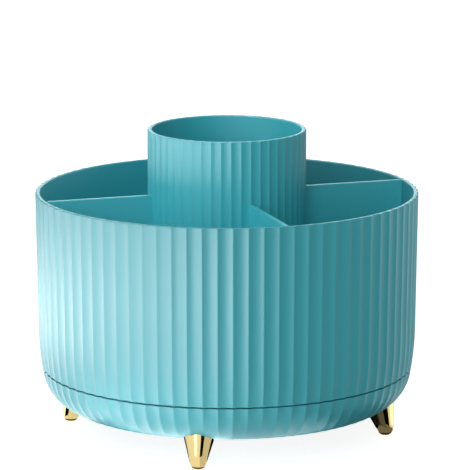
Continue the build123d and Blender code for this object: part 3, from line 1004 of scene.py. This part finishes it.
def put_in_order(work):
    """Sorts the parts of a bmesh by place, because a turned mesh has them in another order each run."""
    for number, vertex in enumerate(sorted(work.verts, key=lambda vertex: tuple(vertex.co))):
        vertex.index = number
    work.verts.sort()
    for parts in (work.edges, work.faces):
        ordered = sorted(parts, key=lambda part: sorted(vertex.index for vertex in part.verts))
        for number, part in enumerate(ordered):
            part.index = number
        parts.sort()


def foot_mesh(foot, place, around=96, tip_steps=20):
    """Cone with a ball tip, turned about its own axis, set in place and cut flat at the ground."""
    profile = []
    sweep = math.pi / 2 - foot.taper
    for step in range(tip_steps + 1):
        angle = sweep * step / tip_steps
        profile.append((foot.tip_radius * math.sin(angle), -foot.tip_radius * math.cos(angle)))
    top = (foot.tip_radius + foot.length * math.sin(foot.taper)) / math.cos(foot.taper)
    hole_end = foot.length - foot.screw_depth
    profile += [(top, foot.length), (foot.screw_radius, foot.length)]
    profile += [(foot.screw_radius, hole_end), (0.0, hole_end)]
    work = bmesh.new()
    corners = [work.verts.new((radius, 0.0, height)) for radius, height in profile]
    edges = [work.edges.new(pair) for pair in zip(corners, corners[1:])]
    bmesh.ops.spin(work, geom=corners + edges, axis=(0, 0, 1), cent=(0, 0, 0), dvec=(0, 0, 0),
                   angle=2 * math.pi, steps=around, use_merge=True)
    bmesh.ops.remove_doubles(work, verts=work.verts, dist=MERGE_DISTANCE)
    bmesh.ops.transform(work, matrix=place, verts=work.verts)
    cut = bmesh.ops.bisect_plane(
        work, geom=work.verts[:] + work.edges[:] + work.faces[:], plane_co=(0, 0, 0),
        plane_no=(0, 0, -1), clear_outer=True)
    rim = [item for item in cut["geom_cut"] if isinstance(item, bmesh.types.BMEdge)]
    for edge in rim:
        for vertex in edge.verts:
            vertex.co.z = 0.0
    bmesh.ops.contextual_create(work, geom=rim)
    put_in_order(work)
    mesh = bpy.data.meshes.new("foot")
    work.to_mesh(mesh)
    work.free()
    return mesh


class CADDY_OT_feet(bpy.types.Operator):
    """Builds the four gold cone feet"""

    bl_idname = "caddy.feet"
    bl_label = "Build feet"

    def execute(self, context):
        foot = context.scene.caddy_foot
        material = gold_plating(context.scene.caddy_finish)
        for side, angle in zip(("front", "right", "rear", "left"), foot_angles(foot)):
            mesh = foot_mesh(foot, foot_place(foot, angle))
            piece = plain_piece("gold_foot_" + side, [mesh], material)
            dress(piece, "base", "gold_plating", "foot_" + side)
        return {"FINISHED"}


class CADDY_OT_inner(bpy.types.Operator):
    """Gives the turntable's races, balls, cage, bush, washer and screws their materials"""

    bl_idname = "caddy.inner"
    bl_label = "Finish inner parts"

    def execute(self, context):
        materials = {slot: inner_material(*finish) for slot, finish in INNER_FINISHES.items()}
        for part in frame["record"]["subparts"]:
            material = materials.get(part["material_slot"])
            if material:
                node = frame["nodes"][part["node"]]
                node.data.materials.clear()
                node.data.materials.append(material)
        return {"FINISHED"}


# Stage

# Colour of the matte white paper, and the light that it adds so that it shows white
PAPER = "#C8C8C8"
PAPER_GLOW = 0.88
# Half the width of the floor, and the distance and height of the backdrop behind the caddy
FLOOR_REACH = 6.0
BACKDROP_DISTANCE = 3.2
BACKDROP_HEIGHT = 3.0
# Points on the axis that the lights face: the caddy's middle, its open top, and lamp height
CADDY_MIDDLE = (0.0, 0.0, 0.07)
CUP_TOP = (0.0, 0.0, 0.11)
LAMP_LEVEL = (0.0, 0.0, 0.46)


def bare_tree(owner):
    """Empty node tree of a material or world."""
    owner.use_nodes = True
    owner.node_tree.nodes.clear()
    return owner.node_tree


def seen_rays(tree):
    """Node that is 1 where the camera looks, straight on or by way of metal or glass, and 0 elsewhere."""
    rays = add_node(tree, "ShaderNodeLightPath").outputs
    direct = add_node(tree, "ShaderNodeMath", {
        0: rays["Is Camera Ray"], 1: rays["Is Glossy Ray"]}, operation="MAXIMUM")
    return add_node(tree, "ShaderNodeMath", {
        0: direct, 1: rays["Is Transmission Ray"]}, operation="MAXIMUM")


def white_stage(name):
    """Matte white paper that shows white to the camera and still takes the shadow."""
    material = bpy.data.materials.new(name)
    tree = bare_tree(material)
    seen = seen_rays(tree)
    paper = add_node(tree, "ShaderNodeBsdfDiffuse", {"Color": rgba(linear(PAPER))})
    glow = add_node(tree, "ShaderNodeEmission", {"Strength": PAPER_GLOW})
    lit = add_node(tree, "ShaderNodeAddShader", {0: paper, 1: glow})
    mixed = add_node(tree, "ShaderNodeMixShader", {"Fac": seen, 1: paper, 2: lit})
    add_node(tree, "ShaderNodeOutputMaterial", {"Surface": mixed})
    material.cycles.emission_sampling = "NONE"
    return material


def stage_sheet(name, points, faces, material):
    """Flat sheet that belongs to the stage, not to the caddy."""
    mesh = bpy.data.meshes.new(name)
    mesh.from_pydata(points, [], faces)
    mesh.materials.append(material)
    sheet = linked_object(name, mesh)
    return sheet


def softbox(name, place, aim, size, radiance, lit=None):
    """Rectangular softbox at a place, facing a point, with the radiance of its cloth.

    Without a point it faces straight up. lit names the group of pieces that it reaches, where it
    isn't all of them.
    """
    lamp = bpy.data.lights.new(name, "AREA")
    lamp.shape = "RECTANGLE"
    lamp.size, lamp.size_y = size
    # The power of a flat lamp is pi times its area times its radiance
    lamp.energy = math.pi * size[0] * size[1] * radiance
    box = linked_object(name, lamp)
    box.location = place
    if aim is None:
        box.rotation_euler = (math.pi, 0.0, 0.0)
    else:
        box.rotation_euler = (Vector(aim) - box.location).to_track_quat("-Z", "Y").to_euler()
    if lit:
        box.light_linking.receiver_collection = group(lit)
    return box


def painted_reflection_sheet(name, stand, ring, turn, level, radiance, steps=24):
    """Flat sheet on the floor, part of a ring round a stand, that paints a reflection: it glows at its
    radiance, or is black at 0, lights nothing and is seen only in reflections.
    """
    material = bpy.data.materials.new(name)
    tree = bare_tree(material)
    glow = add_node(tree, "ShaderNodeEmission", {"Strength": radiance})
    add_node(tree, "ShaderNodeOutputMaterial", {"Surface": glow})
    material.cycles.emission_sampling = "NONE"
    points = []
    for step in range(steps + 1):
        angle = math.radians(turn[0] + (turn[1] - turn[0]) * step / steps)
        for radius in ring:
            points.append((
                stand.x + radius * MM * math.sin(angle), stand.y - radius * MM * math.cos(angle), level * MM))
    quads = [(2 * step, 2 * step + 1, 2 * step + 3, 2 * step + 2) for step in range(steps)]
    card = stage_sheet(name, points, quads, material)
    card.visible_camera = False
    card.visible_diffuse = False
    card.visible_transmission = False
    card.visible_shadow = False


def place_camera(stage):
    """Camera at the photograph's viewing angle."""
    scene = bpy.context.scene
    scene.view_settings.view_transform = "Standard"
    camera = linked_object("camera", bpy.data.cameras.new("camera"))
    camera.data.lens = stage.lens
    camera.data.clip_end = 20.0
    camera.location = stage.camera_place
    camera.rotation_euler = (math.pi / 2 - stage.camera_pitch, 0.0, -stage.camera_yaw)
    scene.camera = camera


def lay_paper():
    """Floor and backdrop of the same paper."""
    paper = white_stage("white_paper")
    side, back, height = FLOOR_REACH, BACKDROP_DISTANCE, BACKDROP_HEIGHT
    stage_sheet(
        "floor", [(-side, -side, 0), (side, -side, 0), (side, side, 0), (-side, side, 0)],
        [(0, 1, 2, 3)], paper)
    stage_sheet(
        "backdrop", [(-side, back, 0), (side, back, 0), (side, back, height), (-side, back, height)],
        [(0, 1, 2, 3)], paper)


def light_world(strength):
    """Even light from all round, which shows white to the camera."""
    world = bpy.data.worlds.new("studio")
    bpy.context.scene.world = world
    tree = bare_tree(world)
    white = rgba((1.0, 1.0, 1.0))
    sky = add_node(tree, "ShaderNodeBackground", {"Color": white, "Strength": strength})
    shown = add_node(tree, "ShaderNodeBackground", {"Color": white, "Strength": 1.0})
    mixed = add_node(tree, "ShaderNodeMixShader", {"Fac": seen_rays(tree), 1: sky, 2: shown})
    add_node(tree, "ShaderNodeOutputWorld", {"Surface": mixed})


def set_softboxes(stage):
    """Softboxes that light the caddy, and reflector cards that only its gloss shows."""
    # Each row: name, place, the point it faces, width and height in metres, radiance, group it lights
    for row in (
            ("key_front_left", (-0.46, -0.756, 0.46), LAMP_LEVEL, (0.78, 0.9), stage.key),
            ("front", (-0.09, -0.9, 0.46), LAMP_LEVEL, (0.38, 0.9), stage.front),
            ("overhead", (0.0, 0.02, 1.3), CADDY_MIDDLE, (0.8, 0.8), stage.overhead),
            ("edge_back_right", (0.78, 0.45, 0.46), LAMP_LEVEL, (0.38, 0.9), stage.edge, "outer_pieces"),
            ("rim_behind", (-0.2, 0.75, 0.95), CADDY_MIDDLE, (0.8, 0.6), stage.rim),
            ("fill_cup", (-0.6, -0.3, 0.5), CUP_TOP, (0.6, 0.6), 2.0, "centre_cup"),
            ("fill_dividers", (-0.05, -0.8, 0.6), CUP_TOP, (0.4, 0.4), 1.6, "centre_cup")):
        softbox(*row)
    # The first six cards lie just above the floor. Each row: name, place, the point it faces or None for
    # straight up, width and length in metres, share of the cards' brightness
    low = 0.003
    for name, place, aim, size, share in (
            ("card_far_left", (-0.57, -0.275, low), None, (0.76, 0.95), 0.95),
            ("card_far_front", (-0.14, -0.52, low), None, (0.12, 0.5), 1.7),
            ("card_near_left", (-0.18, -0.09, low), None, (0.24, 0.36), 0.24),
            ("card_near_front", (-0.105, -0.17, low), None, (0.13, 0.24), 0.5),
            ("card_near_middle", (-0.02, -0.17, low), None, (0.04, 0.24), 0.4),
            ("card_near_right", (0.025, -0.17, low), None, (0.05, 0.24), 0.16),
            ("card_upper_left", (-0.6, -0.6, 1.1), CADDY_MIDDLE, (0.7, 0.7), 1.0),
            ("card_low_behind", (-0.1, 1.5, 0.46), CADDY_MIDDLE, (1.4, 0.4), 0.3)):
        card = softbox(name, place, aim, size, share * stage.cards, "moulded_pieces")
        card.visible_diffuse = False
        card.visible_transmission = False


def lay_painted_reflections(foot):
    """Painted light and dark reflections for the plated feet: glowing and black sheets on the floor that only
    reflections see.
    """
    full_ring = (0, 360)
    # Painted shade: a black disc under the caddy stands for the shadow on the floor beneath it, as the feet
    # and the base reflect it
    painted_reflection_sheet("painted_shade_under_caddy", Vector((0, 0, 0)), (0, 62.5), full_ring, 0.3, 0.0)
    stands = [foot_place(foot, angle).translation for angle in foot_angles(foot)]
    # Painted contact shade: a small black disc round the sole of each foot, which the gold reflects as a dark
    # edge
    for number, stand in enumerate(stands):
        painted_reflection_sheet("painted_contact_shade_foot_%d" % number, stand, (0, 3.2), full_ring, 0.6, 0.02)
    front, right, left = stands[0], stands[1], stands[-1]
    # Painted reflections for each foot: the black sheets (radiance 0) draw the dark strips, the dark and dusk
    # sheets by the right foot stand for the shade under the base, and the light, shade and streak sheets
    # paint the bright and dim parts and the highlights of the gold
    # Each row: name, foot, inner and outer radius in mm, first and last turn in degrees from the
    # camera side towards the right, level in mm, radiance
    for row in (
            ("shade_front_foot", front, (4, 90), (20, 100), 0.2, 0.8),
            ("light_front_foot", front, (7, 90), (-90, 12), 0.2, 1.2),
            ("painted_dark_reflection_front_foot", front, (18, 60), (12, 38), 0.5, 0.0),
            ("painted_highlight_front_foot", front, (21, 62), (-38, -17), 0.5, 3.0),
            ("dark_left_of_right_foot", right, (8, 45), (-100, -30), 0.3, 0.03),
            ("dusk_before_right_foot", right, (8, 45), (-30, 19), 0.3, 0.12),
            ("dusk_round_right_foot", right, (0, 12), (-100, 118), 0.2, 0.2),
            ("painted_dark_reflection_right_foot", right, (11, 32), (17, 60), 0.5, 0.0),
            ("painted_highlight_right_foot", right, (15, 55), (84, 124), 0.5, 2.0),
            ("painted_dark_reflection_left_foot", left, (7, 28), (-78, -35), 0.5, 0.0),
            ("painted_highlight_left_foot", left, (6, 38), (-118, -83), 0.5, 2.0)):
        painted_reflection_sheet(*row)


class CADDY_OT_stage(bpy.types.Operator):
    """Sets up the camera, the floor and the lights"""

    bl_idname = "caddy.stage"
    bl_label = "Build stage"

    def execute(self, context):
        stage = context.scene.caddy_stage
        place_camera(stage)
        lay_paper()
        light_world(stage.sky)
        set_softboxes(stage)
        lay_painted_reflections(context.scene.caddy_foot)
        return {"FINISHED"}


class CADDY_PT_panel(bpy.types.Panel):
    """Sizes, finishes and build buttons of the caddy"""

    bl_idname = "CADDY_PT_panel"
    bl_label = "Rotating caddy"
    bl_space_type = "VIEW_3D"
    bl_region_type = "UI"
    bl_category = "Caddy"

    def draw(self, context):
        for title, settings_class in SETTINGS.items():
            box = self.layout.box()
            box.label(text=title.replace("caddy_", "").capitalize())
            settings = getattr(context.scene, title)
            for name in settings_class.__annotations__:
                box.prop(settings, name)
        for operator in OPERATORS:
            self.layout.operator(operator.bl_idname)


SETTINGS = {
    "caddy_form": CADDY_PG_form, "caddy_cup": CADDY_PG_cup, "caddy_turntable": CADDY_PG_turntable,
    "caddy_foot": CADDY_PG_foot, "caddy_finish": CADDY_PG_finish, "caddy_stage": CADDY_PG_stage}
OPERATORS = (
    CADDY_OT_stage, CADDY_OT_tub, CADDY_OT_base, CADDY_OT_insert, CADDY_OT_feet, CADDY_OT_inner)


def register():
    for own_class in (*SETTINGS.values(), *OPERATORS, CADDY_PT_panel):
        bpy.utils.register_class(own_class)
    for name, settings_class in SETTINGS.items():
        setattr(bpy.types.Scene, name, PointerProperty(type=settings_class))


def unregister():
    for name in SETTINGS:
        delattr(bpy.types.Scene, name)
    for own_class in (CADDY_PT_panel, *reversed(OPERATORS), *reversed(SETTINGS.values())):
        bpy.utils.unregister_class(own_class)


def main():
    """Builds the whole caddy."""
    register()
    bpy.ops.caddy.stage()
    bpy.ops.caddy.tub()
    bpy.ops.caddy.base()
    bpy.ops.caddy.insert()
    bpy.ops.caddy.feet()
    bpy.ops.caddy.inner()


if __name__ == "__main__":
    main()
